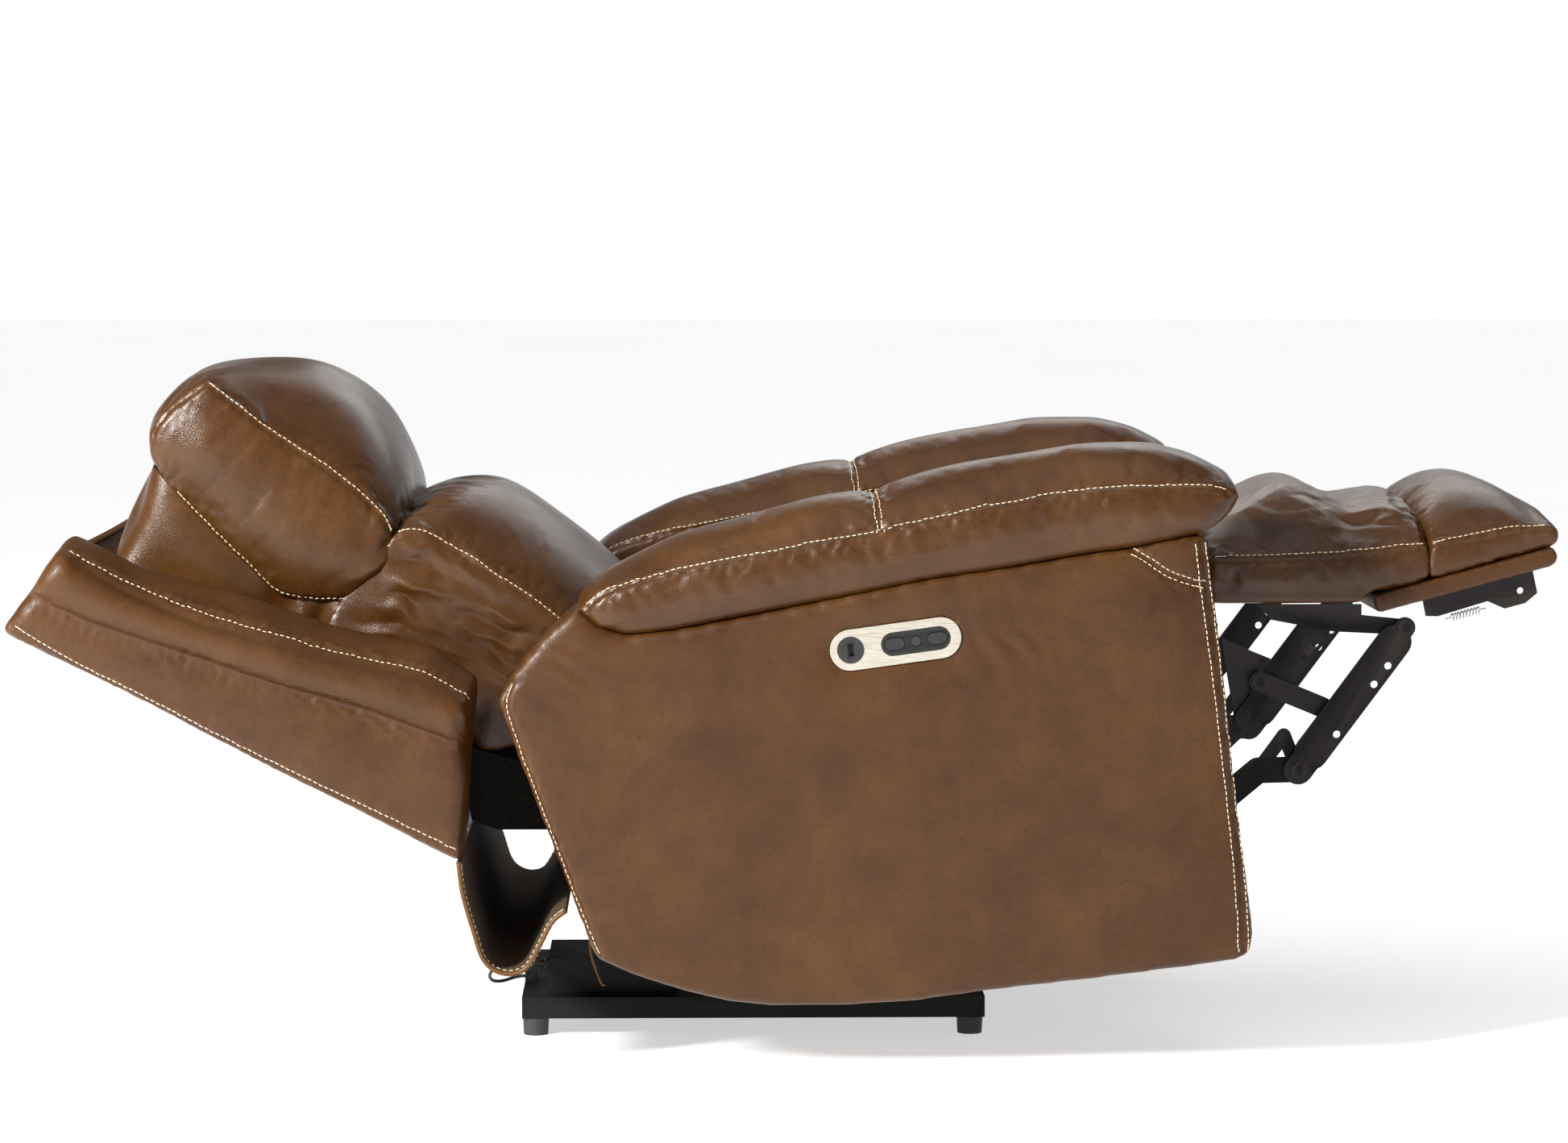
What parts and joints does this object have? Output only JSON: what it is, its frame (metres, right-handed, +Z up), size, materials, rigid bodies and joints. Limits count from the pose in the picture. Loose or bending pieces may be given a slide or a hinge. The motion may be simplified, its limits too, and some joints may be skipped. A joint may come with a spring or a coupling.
{
  "type": "recliner armchair",
  "caption": "Power recliner armchair in brown leather, shown fully reclined, with a folding footrest, reclining winged back and tilting headrest.",
  "frame": {"origin": "middle of the bounding box in plan, on the floor under the feet, with the chair fully reclined", "axes": "+X to the front of the chair (footrest end), +Y to the sitter's left, +Z up"},
  "size_m": [1.7661, 0.876, 0.791],
  "materials": {
    "cushion_leather": "antiqued brown leather over foam, semi-gloss",
    "panel_leather": "antiqued brown leather, semi-gloss, fine grain",
    "black_cloth": "black dust cloth",
    "plywood": "raw plywood",
    "black_steel": "black powder coat",
    "bright_steel": "zinc-plated",
    "black_plastic": "black moulded plastic",
    "foot_plastic": "matte black",
    "carriage_plastic": "grey nylon",
    "bezel": "brushed champagne nickel",
    "lead": "black cable sheath"
  },
  "bodies": {
    "base": {"base_rail_right": "black_steel", "base_rail_left": "black_steel", "base_pan": "black_steel", "foot_rear_right": "foot_plastic", "foot_rear_left": "foot_plastic", "foot_front_right": "foot_plastic", "foot_front_left": "foot_plastic", "power_box": "black_plastic", "cord_gland": "black_plastic", "power_lead": "lead", "tilt_shaft": "bright_steel"},
    "seat": {"chassis_plate_right": "black_steel", "chassis_plate_left": "black_steel", "arm_cross_tube_rear": "black_steel", "arm_cross_tube_front": "black_steel", "seat_deck": "plywood", "seat_cushion": "cushion_leather", "arm_frame_right": "panel_leather", "arm_frame_left": "panel_leather", "side_panel_right": "panel_leather", "side_panel_left": "panel_leather", "arm_pad_right": "panel_leather", "arm_pad_left": "panel_leather", "control_bezel": "bezel", "switch_housing": "black_plastic", "usb_socket": "black_plastic", "actuator_rail": "bright_steel", "gear_motor": "black_plastic"},
    "button_recline": {"button_recline": "black_plastic"},
    "button_home": {"button_home": "black_plastic"},
    "button_close": {"button_close": "black_plastic"},
    "carriage": {"drive_carriage": "carriage_plastic"},
    "lower_links": {"lower_link_right": "black_steel", "lower_link_left": "black_steel", "torque_tube": "black_steel"},
    "front_links": {"front_link_right": "black_steel", "front_link_left": "black_steel"},
    "upper_links": {"upper_link_right": "black_steel", "upper_link_left": "black_steel"},
    "footrest": {"footrest_bracket_right": "black_steel", "footrest_bracket_left": "black_steel", "footrest_board": "plywood", "footrest_cushion": "cushion_leather"},
    "rear_links": {"rear_link_right": "black_steel", "rear_link_left": "black_steel"},
    "coupler_links": {"coupler_link_right": "black_steel", "coupler_link_left": "black_steel"},
    "flipper": {"flipper_arm_right": "black_steel", "flipper_arm_left": "black_steel", "flipper_board": "panel_leather", "flipper_cushion": "cushion_leather", "flipper_spring": "bright_steel"},
    "back": {"back_frame": "black_cloth", "back_panel": "panel_leather", "wing_right": "panel_leather", "wing_left": "panel_leather", "lumbar_cushion": "cushion_leather", "rear_skirt": "panel_leather"},
    "headrest": {"headrest_frame": "black_steel", "headrest_cushion": "cushion_leather"}
  },
  "joints": [
    {"name": "back_recline", "type": "hinge", "parent": "seat", "child": "back", "pos_m": [-0.165, 0, 0.333], "axis": [0, 1, 0], "range_deg": [0, 42]},
    {"name": "seat_tilt", "type": "hinge", "parent": "base", "child": "seat", "pos_m": [0.02, 0, 0.15], "axis": [0, 1, 0], "range_deg": [0, 6.51]},
    {"name": "headrest_tilt", "type": "hinge", "parent": "back", "child": "headrest", "pos_m": [-0.554, 0, 0.51], "axis": [0, -1, 0], "range_deg": [0, 26]},
    {"name": "footrest_fold", "type": "hinge", "parent": "seat", "child": "lower_links", "pos_m": [0.44, 0, 0.12], "axis": [0, -1, 0], "range_deg": [0, 81.18]},
    {"name": "front_link_fold", "type": "hinge", "parent": "lower_links", "child": "front_links", "pos_m": [0.588, 0, 0.318], "axis": [0, 1, 0], "range_deg": [0, 145.51]},
    {"name": "footrest_swing", "type": "hinge", "parent": "front_links", "child": "footrest", "pos_m": [0.711, 0, 0.484], "axis": [0, 1, 0], "range_deg": [0, 25.87]},
    {"name": "rear_link_swing", "type": "hinge", "parent": "footrest", "child": "rear_links", "pos_m": [0.618, 0, 0.494], "axis": [0, -1, 0], "range_deg": [0, 32.77]},
    {"name": "coupler_swing", "type": "hinge", "parent": "rear_links", "child": "coupler_links", "pos_m": [0.544, 0, 0.42], "axis": [0, 1, 0], "range_deg": [0, 35.37]},
    {"name": "upper_link_fold", "type": "hinge", "parent": "seat", "child": "upper_links", "pos_m": [0.4375, 0, 0.28892], "axis": [0, -1, 0], "range_deg": [0, 102.04]},
    {"name": "flipper_tuck", "type": "hinge", "parent": "footrest", "child": "flipper", "pos_m": [0.677, 0, 0.504], "axis": [0, 1, 0], "range_deg": [0, 15.1]},
    {"name": "carriage_travel", "type": "slide", "parent": "seat", "child": "carriage", "axis": [-1, 0, 0], "range_m": [0, 0.0786]},
    {"name": "press_recline", "type": "slide", "parent": "seat", "child": "button_recline", "axis": [0, 1, 0], "range_m": [0, 0.002], "stiffness_N_per_m": 300},
    {"name": "press_home", "type": "slide", "parent": "seat", "child": "button_home", "axis": [0, 1, 0], "range_m": [0, 0.002], "stiffness_N_per_m": 300},
    {"name": "press_close", "type": "slide", "parent": "seat", "child": "button_close", "axis": [0, 1, 0], "range_m": [0, 0.002], "stiffness_N_per_m": 300}
  ],
  "couplings": [
    {"joint": "seat_tilt", "follows": "back_recline", "ratio": 0.15476},
    {"joint": "front_link_fold", "follows": "footrest_fold", "ratio": 1.7913},
    {"joint": "footrest_swing", "follows": "footrest_fold", "ratio": 0.3174},
    {"joint": "rear_link_swing", "follows": "footrest_fold", "ratio": 0.40238},
    {"joint": "coupler_swing", "follows": "footrest_fold", "ratio": 0.4344},
    {"joint": "upper_link_fold", "follows": "footrest_fold", "ratio": 1.2557},
    {"joint": "flipper_tuck", "follows": "footrest_fold", "ratio": 0.18477},
    {"joint": "carriage_travel", "follows": "footrest_fold", "m_per_rad": 0.0551}
  ]
}
